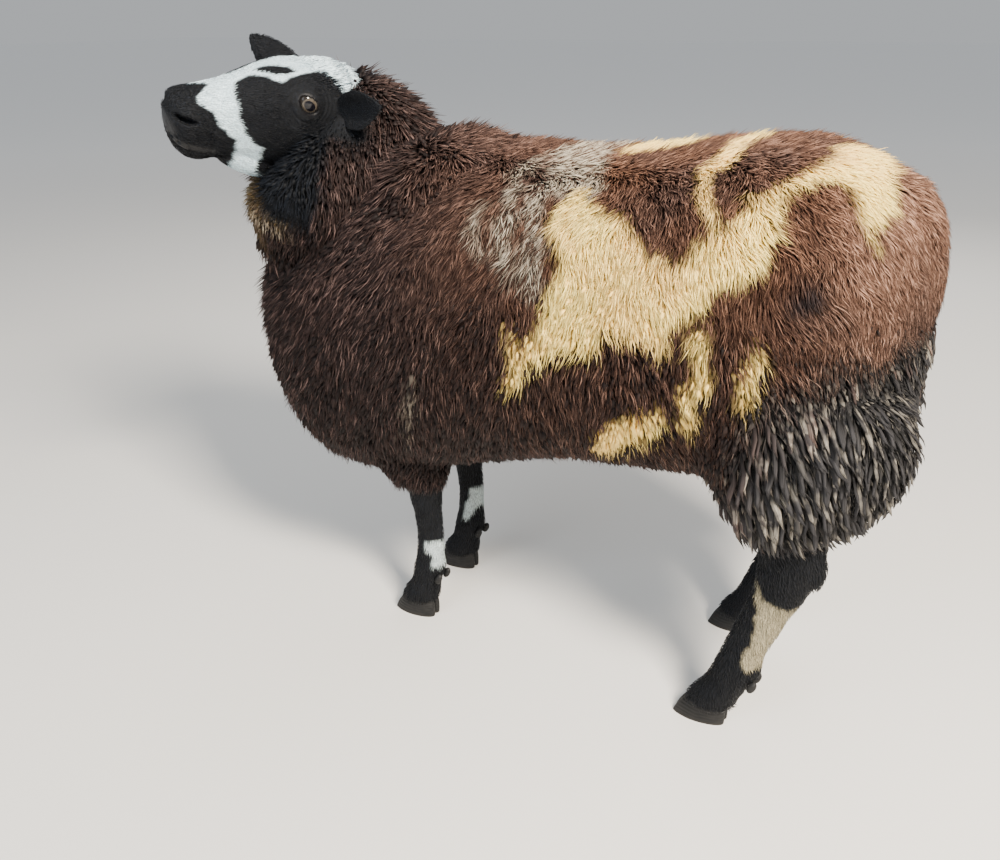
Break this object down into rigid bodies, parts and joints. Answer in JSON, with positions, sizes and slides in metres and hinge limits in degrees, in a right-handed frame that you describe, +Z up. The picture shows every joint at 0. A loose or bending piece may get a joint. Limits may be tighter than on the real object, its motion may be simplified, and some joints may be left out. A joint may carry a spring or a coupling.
{
  "type": "dutch spotted ram model",
  "caption": "Life-size still model of a spotted ram in full fleece, standing with its head raised and turned to its left.",
  "frame": {"origin": "on the floor under the middle of the standing ram's box", "axes": "+X forwards along the body, +Y to the ram's left, +Z up"},
  "size_m": [1.0596, 0.569, 0.9253],
  "materials": {
    "fleece": "long brown wool with cream patches",
    "short_hair": "short black hair with white marks",
    "eye": "wet amber iris with a dark pupil",
    "horn": "dull dark horn"
  },
  "bodies": {
    "root": {"neck": "fleece", "torso_front": "fleece", "torso_middle": "fleece", "torso_rear": "fleece", "thigh_left": "fleece", "thigh_right": "fleece", "forearm_left": "fleece", "forearm_right": "fleece", "tail": "fleece", "head": "short_hair", "ear_left": "short_hair", "ear_right": "short_hair", "foreleg_left": "short_hair", "foreleg_right": "short_hair", "hindleg_left": "short_hair", "hindleg_right": "short_hair", "eye_left": "eye", "eye_right": "eye", "claw_fore_left_left": "horn", "claw_fore_left_right": "horn", "claw_fore_right_left": "horn", "claw_fore_right_right": "horn", "claw_hind_left_left": "horn", "claw_hind_left_right": "horn", "claw_hind_right_left": "horn", "claw_hind_right_right": "horn"}
  },
  "joints": []
}
